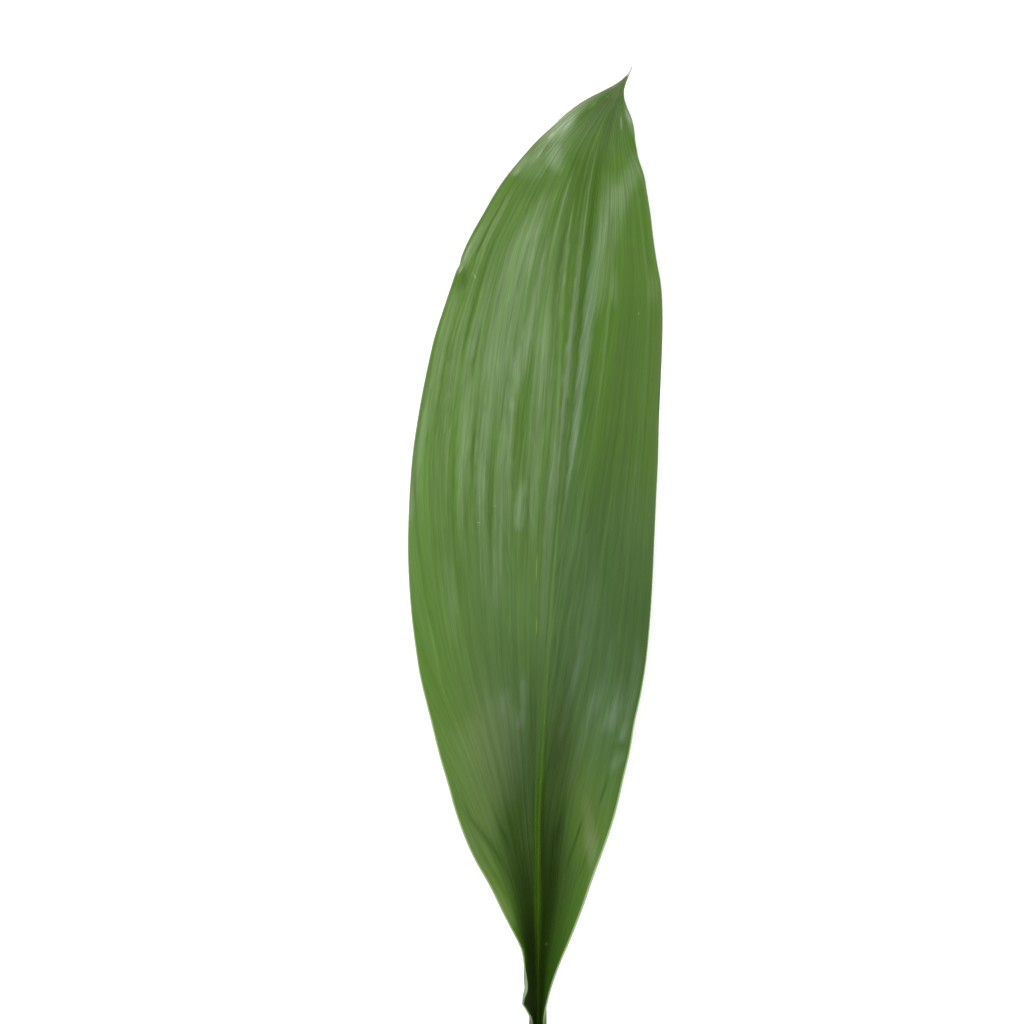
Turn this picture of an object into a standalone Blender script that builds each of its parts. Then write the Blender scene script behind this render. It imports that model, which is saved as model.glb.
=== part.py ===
"""One cut aspidistra leaf, lying with its upper side up on a level surface.

The blade, its midrib and the stalk grew as one piece, so the leaf is one solid. It is drawn as a row of
sections square to the midrib. Each half of a section is one curve from the midrib out to the margin.
"""

import math

import bmesh
import bpy
import numpy as np
from mathutils import Vector

# Driving dimensions, in metres
BLADE_LENGTH = 0.427
HALF_WIDTH = 0.0675
STALK_LENGTH = 0.160
STALK_HALF_WIDTH = 0.0028
STALK_DEPTH = 0.0036
BLADE_THICKNESS = 0.0006
ARCH_HEIGHT = 0.0345

# Half width of the stalk as a share of the blade's
SLIM = STALK_HALF_WIDTH / HALF_WIDTH

# Every rail below is a list of (station, value). A station is a share of the blade's length from its base
# to its tip, or a share of the stalk's length where it is below 0, with the cut end at -1.

# How far the midrib sways to the right, as a share of the half width
SWAY = [
    (-1.00, -0.075), (-0.40, -0.012), (0.00, 0.000), (0.20, 0.002), (0.30, 0.032), (0.50, 0.121),
    (0.70, 0.240), (0.86, 0.325), (0.91, 0.375), (0.96, 0.476), (1.00, 0.593), (1.012, 0.640),
]
# Height of the midrib's upper face above the surface, as a share of the arch height
RISE = [
    (-1.00, 0.1025), (-0.70, 0.150), (-0.40, 0.245), (0.00, 0.400), (0.12, 0.545), (0.24, 0.690),
    (0.36, 0.838), (0.48, 0.938), (0.58, 0.979), (0.66, 0.973), (0.75, 0.893), (0.82, 0.765),
    (0.89, 0.587), (0.94, 0.440), (1.00, 0.270), (1.012, 0.285),
]
# Distance of each margin from the midrib seen from above, as a share of the half width
LEFT_REACH = [
    (-1.00, SLIM), (-0.20, SLIM), (0.00, 0.040), (0.02, 0.112), (0.032, 0.060), (0.05, 0.062),
    (0.085, 0.092), (0.11, 0.190), (0.15, 0.324), (0.20, 0.486), (0.30, 0.719), (0.40, 0.900),
    (0.50, 0.986), (0.58, 1.005), (0.70, 0.958), (0.80, 0.822), (0.86, 0.653), (0.91, 0.447),
    (0.955, 0.236), (0.98, 0.104), (1.00, 0.009), (1.012, 0.005),
]
RIGHT_REACH = [
    (-1.00, SLIM), (-0.20, SLIM), (0.00, 0.035), (0.03, 0.067), (0.06, 0.126), (0.10, 0.228),
    (0.20, 0.452), (0.26, 0.536), (0.32, 0.597), (0.40, 0.653), (0.46, 0.661), (0.58, 0.641),
    (0.70, 0.601), (0.78, 0.556), (0.86, 0.441), (0.91, 0.344), (0.955, 0.217), (0.968, 0.146),
    (0.978, 0.052), (1.00, 0.008), (1.012, 0.005),
]
# Height of each margin above the midrib, as a share of the half width
LEFT_LIFT = [
    (-1.00, 0.028), (-0.20, 0.030), (0.00, 0.075), (0.05, 0.155), (0.10, 0.235), (0.17, 0.283),
    (0.25, 0.249), (0.35, 0.124), (0.45, -0.013), (0.55, -0.160), (0.65, -0.323), (0.70, -0.412),
    (0.75, -0.458), (0.80, -0.415), (0.86, -0.272), (0.91, -0.168), (0.96, -0.070), (1.00, -0.004),
    (1.012, -0.003),
]
RIGHT_LIFT = [
    (-1.00, 0.028), (-0.20, 0.030), (0.00, 0.075), (0.05, 0.143), (0.10, 0.207), (0.16, 0.244),
    (0.22, 0.225), (0.30, 0.118), (0.40, -0.098), (0.50, -0.314), (0.60, -0.458), (0.66, -0.503),
    (0.75, -0.437), (0.86, -0.274), (0.96, -0.090), (1.00, -0.004), (1.012, -0.003),
]
# Slope of each half where it leaves the midrib and where it ends at the margin, in degrees above level
LEFT_ROOT_SLOPE = [
    (-1.00, 14), (-0.20, 16), (0.00, 45), (0.06, 62), (0.15, 48), (0.25, 35), (0.35, 23), (0.50, 9),
    (0.62, 0), (0.80, -10), (0.92, -15), (1.012, -10),
]
RIGHT_ROOT_SLOPE = [
    (-1.00, 14), (-0.20, 16), (0.00, 45), (0.06, 56), (0.15, 43), (0.25, 31), (0.35, 14), (0.50, -9),
    (0.62, -22), (0.75, -25), (0.92, -23), (1.012, -10),
]
LEFT_EDGE_SLOPE = [
    (-1.00, 72), (-0.20, 73), (0.00, 80), (0.045, 118), (0.08, 100), (0.11, 60), (0.15, 34), (0.25, 13),
    (0.35, -3), (0.50, -18), (0.62, -32), (0.70, -46), (0.76, -48), (0.84, -40), (0.92, -28), (1.012, -10),
]
RIGHT_EDGE_SLOPE = [
    (-1.00, 72), (-0.20, 73), (0.00, 80), (0.05, 60), (0.10, 42), (0.20, 20), (0.27, 6), (0.35, -14),
    (0.50, -38), (0.62, -50), (0.70, -54), (0.80, -48), (0.90, -38), (1.012, -10),
]
# How far the midrib bulges below the blade, as a share of the stalk's depth, and how far it spreads to each
# side, as a share of the half width
KEEL_DEPTH = [
    (-1.00, 1.00), (-0.20, 1.00), (0.00, 0.98), (0.08, 0.84), (0.20, 0.62), (0.40, 0.40), (0.60, 0.26),
    (0.80, 0.14), (0.92, 0.05), (1.012, 0.00),
]
KEEL_SPREAD = [
    (-1.00, 0.070), (-0.10, 0.070), (0.00, 0.075), (0.08, 0.072), (0.20, 0.062), (0.40, 0.050),
    (0.60, 0.040), (0.80, 0.030), (1.012, 0.020),
]
# Share of the full depth that the pleats have
PLEAT_FADE = [(-1.00, 0.0), (0.03, 0.0), (0.14, 0.8), (0.30, 1.0), (0.80, 1.0), (0.93, 0.5), (1.012, 0.0)]

# Lengthwise pleats on each side of the midrib: their height, how unequal they are and how they bunch
PLEATS = 7
PLEAT_DEPTH = 0.00032
PLEAT_VARIATION = 0.2
PLEAT_VARIATION_RATE = 9.0
PLEAT_DRIFT = 0.012
STEPS_PER_PLEAT = 4

# Length of a half section's handles as a share of its span, and the run over which the rails are eased
HANDLE = 0.36
EASING = 0.003
# Rise of the slanting cut along the leaf for each unit of height, and the run that gives the midrib's lean
CUT_SLANT = 0.45
LEAN_RUN = 0.002
# Faces that meet at a sharper angle than this, in degrees, have a crisp edge
CRISP_ANGLE = 50

# Stretches of the leaf as (first station, last station, rows, columns on each side of the midrib)
FULL_COLUMNS = PLEATS * STEPS_PER_PLEAT
STRETCHES = [
    (-1.00, -0.10, 9, 7),
    (0.00, 0.045, 5, 7),
    (0.055, 0.095, 5, 14),
    (0.108, 0.900, 36, FULL_COLUMNS),
    (0.915, 0.955, 4, 14),
    (0.965, 0.990, 4, 7),
    (0.996, 1.012, 3, 2),
]


def along(station):
    """Distance of a station from the blade's base, in metres; the stalk lies below 0."""
    return station * (BLADE_LENGTH if station > 0 else STALK_LENGTH)


def rail(knots, scale=1.0):
    """A smooth curve through the knots, which never swings past them, as a function of the distance along."""
    x = np.array([along(station) for station, _ in knots])
    y = np.array([value * scale for _, value in knots])
    step = np.diff(x)
    slope = np.diff(y) / step
    tangent = np.zeros(len(x))
    tangent[0], tangent[-1] = slope[0], slope[-1]
    for i in range(1, len(x) - 1):
        if slope[i - 1] * slope[i] > 0:
            before = step[i] + 2 * step[i - 1]
            after = 2 * step[i] + step[i - 1]
            tangent[i] = (before + after) / (before / slope[i - 1] + after / slope[i])

    def through(at):
        at = min(max(at, x[0]), x[-1])
        i = min(int(np.searchsorted(x, at, side="right")) - 1, len(step) - 1)
        t = (at - x[i]) / step[i]
        pull = tangent[i] * step[i] * t * (1 - t) ** 2 - tangent[i + 1] * step[i] * t * t * (1 - t)
        return y[i] * (1 + 2 * t) * (1 - t) ** 2 + y[i + 1] * t * t * (3 - 2 * t) + pull

    def eased(at):
        return (through(at - EASING) + 2 * through(at) + through(at + EASING)) / 4

    return eased


sway = rail(SWAY, HALF_WIDTH)
rise = rail(RISE, ARCH_HEIGHT)
keel_depth = rail(KEEL_DEPTH, STALK_DEPTH - BLADE_THICKNESS)
keel_spread = rail(KEEL_SPREAD, HALF_WIDTH)
pleat_fade = rail(PLEAT_FADE, PLEAT_DEPTH)
HALVES = {
    -1: {
        "reach": rail(LEFT_REACH, HALF_WIDTH),
        "lift": rail(LEFT_LIFT, HALF_WIDTH),
        "root": rail(LEFT_ROOT_SLOPE, math.pi / 180),
        "edge": rail(LEFT_EDGE_SLOPE, math.pi / 180),
    },
    1: {
        "reach": rail(RIGHT_REACH, HALF_WIDTH),
        "lift": rail(RIGHT_LIFT, HALF_WIDTH),
        "root": rail(RIGHT_ROOT_SLOPE, math.pi / 180),
        "edge": rail(RIGHT_EDGE_SLOPE, math.pi / 180),
    },
}


def half_section(half, at, share):
    """(outward, up, tangent slope) of one half's middle curve, a cubic from the midrib to the margin."""
    reach, lift = half["reach"](at), half["lift"](at)
    root, edge = half["root"](at), half["edge"](at)
    handle = HANDLE * math.hypot(reach, lift)
    points = np.array([
        (0.0, 0.0),
        (handle * math.cos(root), handle * math.sin(root)),
        (reach - handle * math.cos(edge), lift - handle * math.sin(edge)),
        (reach, lift),
    ])
    a, b = 1 - share, share
    weights = np.array([a**3, 3 * a * a * b, 3 * a * b * b, b**3])
    slopes = np.array([-3 * a * a, 3 * a * a - 6 * a * b, 6 * a * b - 3 * b * b, 3 * b * b])
    out, up = weights @ points
    run, climb = slopes @ points
    return out, up, math.atan2(climb, run)


def pleat(at, column, side):
    """Height of the lengthwise pleats over the even blade; column runs from 0 at the midrib to 1."""
    wave = math.sin(2 * math.pi * PLEATS * column)
    swell = 1 - PLEAT_VARIATION + PLEAT_VARIATION * math.sin(PLEAT_VARIATION_RATE * column + side)
    return pleat_fade(at) * swell * wave


def trimmed(edge, inner):
    """The margin's point, drawn back toward the one inside it where it would lie below the surface."""
    if edge.z >= 0:
        return edge
    return edge.lerp(inner, edge.z / (edge.z - inner.z))


def row(station, columns):
    """Upper and lower points of the section at a station, from the left margin to the right one."""
    at = along(station)
    lean = math.atan2(sway(at + LEAN_RUN) - sway(at - LEAN_RUN), 2 * LEAN_RUN)
    across = Vector((math.cos(lean), -math.sin(lean), 0.0))
    centre = Vector((sway(at), at, rise(at)))
    upper, lower = [], []
    for step in range(-columns, columns + 1):
        side = -1 if step < 0 else 1
        column = abs(step) / columns
        share = column + PLEAT_DRIFT * math.sin(2 * math.pi * column)
        out, up, slope = half_section(HALVES[side], at, share)
        if step == 0:
            left_slope = half_section(HALVES[-1], at, 0.0)[2]
            slope = (slope - left_slope) / 2
        normal = across * (-side * math.sin(slope)) + Vector((0.0, 0.0, math.cos(slope)))
        distance = math.hypot(out, up)
        bulge = max(0.0, 1 - (distance / keel_spread(at)) ** 2)
        depth = BLADE_THICKNESS + keel_depth(at) * bulge
        point = centre + across * (side * out) + Vector((0.0, 0.0, up))
        point += normal * pleat(at, column, side)
        upper.append(point)
        lower.append(point - normal * depth)
    for face in (upper, lower):
        face[0] = trimmed(face[0], face[1])
        face[-1] = trimmed(face[-1], face[-2])
        for point in face:
            point.z = max(point.z, 0.0)
            if station == -1:
                point.y += CUT_SLANT * (point.z - centre.z)
    return upper, lower


def rows():
    """All sections from the cut end to the tip, each as (upper points, lower points)."""
    made = []
    for first, last, count, columns in STRETCHES:
        for station in np.linspace(first, last, count):
            made.append(row(float(station), columns))
    return made


def zip_rows(near, far):
    """Triangles between two rows of vertices that may differ in number, always on at the row that lags."""
    near_steps, far_steps = len(near) - 1, len(far) - 1
    faces = []
    i = j = 0
    while i < near_steps or j < far_steps:
        if j == far_steps or (i < near_steps and (i + 1) * far_steps <= (j + 1) * near_steps):
            faces.append((near[i], near[i + 1], far[j]))
            i += 1
        else:
            faces.append((near[i], far[j + 1], far[j]))
            j += 1
    return faces


def leaf_mesh():
    """The closed leaf: both faces split into triangles alike, joined at the margins and at both ends."""
    mesh = bmesh.new()
    sections = rows()
    everything = [p for upper, lower in sections for p in upper + lower]
    low = Vector(min(p[i] for p in everything) for i in range(3))
    high = Vector(max(p[i] for p in everything) for i in range(3))
    base = Vector(((low.x + high.x) / 2, (low.y + high.y) / 2, 0.0))
    tops, bottoms = [], []
    for upper, lower in sections:
        tops.append([mesh.verts.new(p - base) for p in upper])
        bottoms.append([mesh.verts.new(p - base) for p in lower])
    for i in range(len(sections) - 1):
        for a, b, c in zip_rows(tops[i], tops[i + 1]):
            mesh.faces.new((a, b, c))
        for a, b, c in zip_rows(bottoms[i], bottoms[i + 1]):
            mesh.faces.new((c, b, a))
        for k in (0, -1):
            corners = (tops[i][k], tops[i + 1][k], bottoms[i + 1][k], bottoms[i][k])
            mesh.faces.new(corners if k == 0 else corners[::-1])
    for end, flip in ((0, False), (-1, True)):
        top, bottom = tops[end], bottoms[end]
        for k in range(len(top) - 1):
            corners = (top[k], bottom[k], bottom[k + 1], top[k + 1])
            mesh.faces.new(corners[::-1] if flip else corners)
    bmesh.ops.triangulate(mesh, faces=[f for f in mesh.faces if len(f.verts) > 3])
    bmesh.ops.recalc_face_normals(mesh, faces=mesh.faces)
    return mesh


def leaf_green():
    """Leathery leaf surface, deep green with a soft gloss."""
    material = bpy.data.materials.new("leaf_green")
    material.use_nodes = True
    shader = material.node_tree.nodes["Principled BSDF"]
    shader.inputs["Base Color"].default_value = (0.105, 0.235, 0.055, 1.0)
    shader.inputs["Roughness"].default_value = 0.42
    shader.inputs["Metallic"].default_value = 0.0
    return material


def clear_scene():
    for obj in list(bpy.data.objects):
        bpy.data.objects.remove(obj)


def build_leaf():
    data = bpy.data.meshes.new("leaf")
    mesh = leaf_mesh()
    mesh.to_mesh(data)
    mesh.free()
    data.materials.append(leaf_green())
    data.shade_smooth()
    data.set_sharp_from_angle(angle=math.radians(CRISP_ANGLE))
    leaf = bpy.data.objects.new("leaf", data)
    bpy.context.scene.collection.objects.link(leaf)
    return leaf


clear_scene()
build_leaf()
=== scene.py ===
"""Looks of one cut aspidistra leaf, lying with its upper side up on a pale floor.

The fine leaf keeps the plain one's form: the same rails give its midrib, margins and sections. It adds what
the eye sees close by: fine ribs and veins, a groove, margins with a nick, and the colours, with shade, sheen
and highlights painted into them.
"""

import math

import bpy
import numpy as np
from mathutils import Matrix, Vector


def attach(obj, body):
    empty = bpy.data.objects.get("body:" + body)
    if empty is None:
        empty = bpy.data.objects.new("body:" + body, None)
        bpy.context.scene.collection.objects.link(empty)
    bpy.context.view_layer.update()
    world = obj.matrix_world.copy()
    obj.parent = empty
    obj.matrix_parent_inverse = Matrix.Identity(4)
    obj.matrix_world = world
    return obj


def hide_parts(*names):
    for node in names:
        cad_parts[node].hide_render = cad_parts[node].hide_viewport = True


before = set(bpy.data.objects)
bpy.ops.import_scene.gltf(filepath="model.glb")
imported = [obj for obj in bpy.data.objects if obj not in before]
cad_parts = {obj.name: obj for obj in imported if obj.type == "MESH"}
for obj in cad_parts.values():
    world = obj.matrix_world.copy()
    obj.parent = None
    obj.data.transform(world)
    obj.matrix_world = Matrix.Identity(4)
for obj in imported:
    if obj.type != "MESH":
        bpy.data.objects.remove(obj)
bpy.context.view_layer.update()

# Driving dimensions, in metres, as in the plain leaf
BLADE_LENGTH = 0.427
HALF_WIDTH = 0.0675
STALK_LENGTH = 0.160
STALK_HALF_WIDTH = 0.0028
STALK_DEPTH = 0.0036
BLADE_THICKNESS = 0.0006
ARCH_HEIGHT = 0.0345
SLIM = STALK_HALF_WIDTH / HALF_WIDTH
# Where the middle of the leaf's box lies, measured from the base of the blade
MIDDLE = (-0.0007008, 0.1353159)

# Every rail is a list of (station, value). A station is a share of the blade's length from its base to its
# tip, or a share of the stalk's length where it is below 0, with the cut end at -1.
SWAY = [
    (-1.00, -0.075), (-0.40, -0.012), (0.00, 0.000), (0.20, 0.002), (0.30, 0.032), (0.50, 0.121),
    (0.70, 0.240), (0.86, 0.325), (0.91, 0.375), (0.96, 0.476), (1.00, 0.593), (1.012, 0.640),
]
RISE = [
    (-1.00, 0.1025), (-0.70, 0.150), (-0.40, 0.245), (0.00, 0.400), (0.12, 0.545), (0.24, 0.690),
    (0.36, 0.838), (0.48, 0.938), (0.58, 0.979), (0.66, 0.973), (0.75, 0.893), (0.82, 0.765),
    (0.89, 0.587), (0.94, 0.440), (1.00, 0.270), (1.012, 0.285),
]
LEFT_REACH = [
    (-1.00, SLIM), (-0.20, SLIM), (0.00, 0.034), (0.010, 0.050), (0.016, 0.074), (0.0215, 0.118),
    (0.028, 0.090), (0.034, 0.066), (0.047, 0.071), (0.0535, 0.078), (0.063, 0.089), (0.073, 0.093),
    (0.081, 0.103), (0.0905, 0.130), (0.102, 0.168), (0.11, 0.194), (0.15, 0.324), (0.20, 0.486),
    (0.30, 0.719), (0.40, 0.900), (0.50, 0.986), (0.58, 1.005), (0.70, 0.958), (0.80, 0.822),
    (0.86, 0.653), (0.91, 0.447), (0.955, 0.236), (0.98, 0.104), (1.00, 0.009), (1.012, 0.005),
]
RIGHT_REACH = [
    (-1.00, SLIM), (-0.20, SLIM), (0.00, 0.035), (0.03, 0.067), (0.06, 0.126), (0.10, 0.228),
    (0.20, 0.452), (0.26, 0.536), (0.32, 0.597), (0.40, 0.653), (0.46, 0.661), (0.58, 0.641),
    (0.70, 0.601), (0.78, 0.556), (0.86, 0.441), (0.91, 0.344), (0.955, 0.217), (0.968, 0.146),
    (0.978, 0.052), (1.00, 0.008), (1.012, 0.005),
]
LEFT_LIFT = [
    (-1.00, 0.028), (-0.20, 0.030), (0.00, 0.075), (0.05, 0.155), (0.10, 0.235), (0.17, 0.283),
    (0.25, 0.249), (0.35, 0.124), (0.45, -0.013), (0.55, -0.160), (0.65, -0.323), (0.70, -0.412),
    (0.75, -0.458), (0.80, -0.415), (0.86, -0.272), (0.91, -0.168), (0.96, -0.070), (1.00, -0.004),
    (1.012, -0.003),
]
RIGHT_LIFT = [
    (-1.00, 0.028), (-0.20, 0.030), (0.00, 0.075), (0.05, 0.143), (0.10, 0.207), (0.16, 0.244),
    (0.22, 0.225), (0.30, 0.118), (0.40, -0.098), (0.50, -0.314), (0.60, -0.458), (0.66, -0.503),
    (0.75, -0.437), (0.86, -0.274), (0.96, -0.090), (1.00, -0.004), (1.012, -0.003),
]
LEFT_ROOT_SLOPE = [
    (-1.00, 14), (-0.20, 16), (0.00, 45), (0.06, 62), (0.15, 48), (0.25, 35), (0.35, 23), (0.50, 9),
    (0.62, 0), (0.80, -10), (0.92, -15), (1.012, -10),
]
RIGHT_ROOT_SLOPE = [
    (-1.00, 14), (-0.20, 16), (0.00, 45), (0.06, 56), (0.15, 43), (0.25, 31), (0.35, 14), (0.50, -9),
    (0.62, -22), (0.75, -25), (0.92, -23), (1.012, -10),
]
LEFT_EDGE_SLOPE = [
    (-1.00, 72), (-0.20, 73), (0.00, 80), (0.012, 88), (0.022, 105), (0.031, 152), (0.046, 150),
    (0.057, 112), (0.067, 84), (0.08, 76), (0.11, 56), (0.15, 34), (0.25, 13), (0.35, -3), (0.50, -18),
    (0.62, -32), (0.70, -46), (0.76, -48), (0.84, -40), (0.92, -28), (1.012, -10),
]
RIGHT_EDGE_SLOPE = [
    (-1.00, 72), (-0.20, 73), (0.00, 80), (0.05, 60), (0.10, 42), (0.20, 20), (0.27, 6), (0.35, -14),
    (0.50, -38), (0.62, -50), (0.70, -54), (0.80, -48), (0.90, -38), (1.012, -10),
]
KEEL_DEPTH = [
    (-1.00, 1.00), (-0.20, 1.00), (0.00, 0.98), (0.08, 0.84), (0.20, 0.62), (0.40, 0.40), (0.60, 0.26),
    (0.80, 0.14), (0.92, 0.05), (1.012, 0.00),
]
KEEL_SPREAD = [
    (-1.00, 0.070), (-0.10, 0.070), (0.00, 0.075), (0.08, 0.072), (0.20, 0.062), (0.40, 0.050),
    (0.60, 0.040), (0.80, 0.030), (1.012, 0.020),
]
# Length of a section's end handles, as a share of the straight way from the midrib to the margin
HANDLE = 0.36
# How far along a rail its corners are eased, in metres
EASING = 0.003
# How far the cut end slants back for each metre of height
CUT_SLANT = 0.45
# How far to each side the midrib's lean is taken, in metres
LEAN_RUN = 0.002
# How far the fine margins stand out from the plain ones, in metres
LEFT_TRIM = [
    (-1.00, 0.0), (0.12, -0.0001), (0.15, -0.00045), (0.175, 0.0), (0.20, -0.0002), (0.225, 0.0),
    (0.25, -0.00035), (0.277, 0.0), (0.32, -0.0002), (0.357, 0.0), (0.39, -0.0003), (0.43, 0.0),
    (0.58, 0.00025), (0.62, 0.0001), (0.66, 0.0), (0.70, -0.0003), (0.763, -0.00105), (0.80, -0.0009),
    (0.846, -0.0010), (0.86, -0.00065), (0.895, -0.00035), (0.911, -0.0003), (0.931, -0.0008),
    (0.943, 0.0001), (0.959, 0.0007), (0.968, 0.0007), (0.978, -0.0001), (0.985, -0.0001), (0.994, 0.0004),
    (1.00, 0.0001), (1.012, 0.0),
]
RIGHT_TRIM = [
    (-1.00, 0.0), (0.12, -0.0001), (0.16, -0.0007), (0.20, 0.0), (0.231, 0.0003), (0.27, 0.0),
    (0.294, 0.0002), (0.323, -0.0002), (0.357, 0.0002), (0.42, 0.0002), (0.50, 0.0), (0.60, -0.0001),
    (0.655, -0.00045), (0.69, -0.0003), (0.72, 0.0), (0.77, 0.0003), (0.791, 0.0001), (0.815, -0.0006),
    (0.84, -0.0004), (0.86, 0.0001), (0.88, 0.00035), (0.903, 0.0004), (0.915, 0.0001), (0.933, -0.0011),
    (0.945, -0.0014), (0.955, -0.0012), (0.963, -0.0006), (0.971, 0.0010), (0.983, 0.0009),
    (0.9895, -0.0008), (0.9965, 0.0007), (1.003, 0.0), (1.012, 0.0),
]

# Veins run out from the midrib. On the left they reach full spread at mid-blade; on the right the first
# ones leave the midrib low down and the last ones near the tip.
LEFT_SPREAD = [
    (-1.00, 0.50), (0.12, 0.50), (0.20, 0.55), (0.25, 0.64), (0.30, 0.73), (0.36, 0.82), (0.46, 0.92),
    (0.60, 1.00), (0.92, 1.00), (0.96, 0.88), (1.012, 0.75),
]
RIGHT_START = [
    (-1.00, 0.50), (0.20, 0.50), (0.28, 0.45), (0.36, 0.39), (0.48, 0.33), (0.60, 0.28), (0.70, 0.21),
    (0.78, 0.10), (0.87, 0.00), (1.012, 0.00),
]
RIGHT_SPREAD = [(-1.00, 1.00), (0.88, 1.00), (0.92, 0.93), (0.95, 0.75), (1.012, 0.55)]

# Ribs, as (how many on each side of the midrib, height in metres, where the first one lies)
RIBS = [
    (4.3, 0.00016, 0.6), (7.1, 0.00026, 2.1), (11.9, 0.00011, 4.4), (19.3, 0.00005, 1.2),
    (31.0, 0.00002, 3.3),
]
# How far the ribs wander sideways and how quickly, how high they stand on the lower side beside the upper
# one, and over what share of a half they rise beside the midrib
RIB_WANDER = 0.9
RIB_WANDER_PACE = 3.1
LOWER_RIBS = 0.7
RIB_START = 0.04
LEFT_RIB_FADE = [
    (-1.00, 0.0), (0.08, 0.0), (0.20, 0.15), (0.32, 0.25), (0.45, 0.55), (0.55, 0.9), (0.84, 1.0),
    (0.93, 0.5), (1.00, 0.0), (1.012, 0.0),
]
RIGHT_RIB_FADE = [
    (-1.00, 0.0), (0.08, 0.0), (0.20, 0.3), (0.40, 0.3), (0.55, 0.25), (0.80, 0.35), (0.90, 0.6),
    (0.95, 0.4), (1.00, 0.0), (1.012, 0.0),
]
# How strongly streaks and pleats show on each half, and how much more the right one's do at the midrib
LEFT_STREAKS = [
    (-1.00, 0.5), (0.15, 0.6), (0.35, 0.45), (0.45, 0.55), (0.55, 0.85), (0.65, 0.9), (0.88, 0.9),
    (0.95, 1.1), (1.012, 0.5),
]
RIGHT_STREAKS = [
    (-1.00, 0.5), (0.15, 0.6), (0.35, 0.5), (0.50, 0.45), (0.80, 0.5), (0.90, 0.75), (0.95, 0.8),
    (1.012, 0.5),
]
RIGHT_MIDRIB_STREAKS = 0.8
# Groove along the midrib on the upper side: its depth and half width in metres
GROOVE_DEPTH = [(-1.00, 0.0), (-0.10, 0.0), (0.05, 0.00030), (0.50, 0.00022), (0.80, 0.00010), (1.012, 0.0)]
GROOVE_WIDTH = [(-1.00, 0.0012), (0.10, 0.0011), (0.50, 0.0008), (0.90, 0.0005), (1.012, 0.0004)]

# The nick in the left margin: the stations where it starts, is deepest and ends, its depth in metres, and the
# share of the way to the margin from which it draws the blade in
NICK = (0.803, 0.7925, 0.787)
NICK_DEPTH = 0.0005
NICK_REACH = 0.90

# Rows of the mesh as (row, station) and columns of one half as (column, share of the way to the margin).
# The last numbers are even, because the lower side keeps only every other row and column.
ROW_PLAN = [
    (0, -1.0), (12, -0.04), (44, 0.10), (188, 0.785), (198, 0.806), (222, 0.90), (246, 0.965), (270, 1.012),
]
COLUMN_PLAN = [(0, 0.0), (8, 0.024), (26, 0.13), (132, 0.97), (140, 1.0)]
ROWS = ROW_PLAN[-1][0]
HALF_COLUMNS = COLUMN_PLAN[-1][0]
# Materials of the mesh's faces, in the order in which the leaf gets them
UPPER_FACE, UNDER_FACE, CUT_FACE = range(3)
# Added to the right half's vein numbers, so that its veins don't mirror the left half's
RIGHT_VEINS = 10.0
# Millimetres in a metre
MILLIMETRES = 1000


def along(station):
    """Distance of a station from the blade's base, in metres; the stalk lies below 0."""
    return station * np.where(np.asarray(station) > 0, BLADE_LENGTH, STALK_LENGTH)


def rail(knots, scale=1.0):
    """A smooth curve through the knots, which never swings past them, as a function of the distance along."""
    x = along(np.array([station for station, _ in knots]))
    y = np.array([value * scale for _, value in knots])
    step = np.diff(x)
    slope = np.diff(y) / step
    tangent = np.zeros(len(x))
    tangent[0], tangent[-1] = slope[0], slope[-1]
    for i in range(1, len(x) - 1):
        if slope[i - 1] * slope[i] > 0:
            before = step[i] + 2 * step[i - 1]
            after = 2 * step[i] + step[i - 1]
            tangent[i] = (before + after) / (before / slope[i - 1] + after / slope[i])

    def through(at):
        at = np.clip(at, x[0], x[-1])
        i = np.clip(np.searchsorted(x, at, side="right") - 1, 0, len(step) - 1)
        t = (at - x[i]) / step[i]
        pull = tangent[i] * step[i] * t * (1 - t) ** 2 - tangent[i + 1] * step[i] * t * t * (1 - t)
        return y[i] * (1 + 2 * t) * (1 - t) ** 2 + y[i + 1] * t * t * (3 - 2 * t) + pull

    def eased(at):
        return (through(at - EASING) + 2 * through(at) + through(at + EASING)) / 4

    return eased


def smooth(value, low, high):
    """0 below low, 1 above high, and an even S between them."""
    t = np.clip((value - low) / (high - low), 0, 1)
    return t * t * (3 - 2 * t)


def half_rails(reach, lift, root_slope, edge_slope, ribs, streaks, trim):
    """The curves that shape and mark one half."""
    return {
        "reach": rail(reach, HALF_WIDTH),
        "lift": rail(lift, HALF_WIDTH),
        "root": rail(root_slope, math.pi / 180),
        "edge": rail(edge_slope, math.pi / 180),
        "ribs": rail(ribs),
        "streaks": rail(streaks),
        "trim": rail(trim),
    }


LEFT = half_rails(
    LEFT_REACH, LEFT_LIFT, LEFT_ROOT_SLOPE, LEFT_EDGE_SLOPE, LEFT_RIB_FADE, LEFT_STREAKS, LEFT_TRIM)
RIGHT = half_rails(
    RIGHT_REACH, RIGHT_LIFT, RIGHT_ROOT_SLOPE, RIGHT_EDGE_SLOPE, RIGHT_RIB_FADE, RIGHT_STREAKS, RIGHT_TRIM)


def half_section(half, at, share):
    """(outward, up, tangent slope) of one half's middle curve, a cubic from the midrib to the margin."""
    reach, lift = half["reach"](at), half["lift"](at)
    root, edge = half["root"](at), half["edge"](at)
    handle = HANDLE * np.hypot(reach, lift)
    outs = (0.0 * reach, handle * np.cos(root), reach - handle * np.cos(edge), reach)
    ups = (0.0 * lift, handle * np.sin(root), lift - handle * np.sin(edge), lift)
    a, b = 1 - share, share
    weights = (a**3, 3 * a * a * b, 3 * a * b * b, b**3)
    slopes = (-3 * a * a, 3 * a * a - 6 * a * b, 6 * a * b - 3 * b * b, 3 * b * b)
    out = sum(w * p for w, p in zip(weights, outs))
    up = sum(w * p for w, p in zip(weights, ups))
    run = sum(w * p for w, p in zip(slopes, outs))
    climb = sum(w * p for w, p in zip(slopes, ups))
    return out, up, np.arctan2(climb, run)


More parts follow.
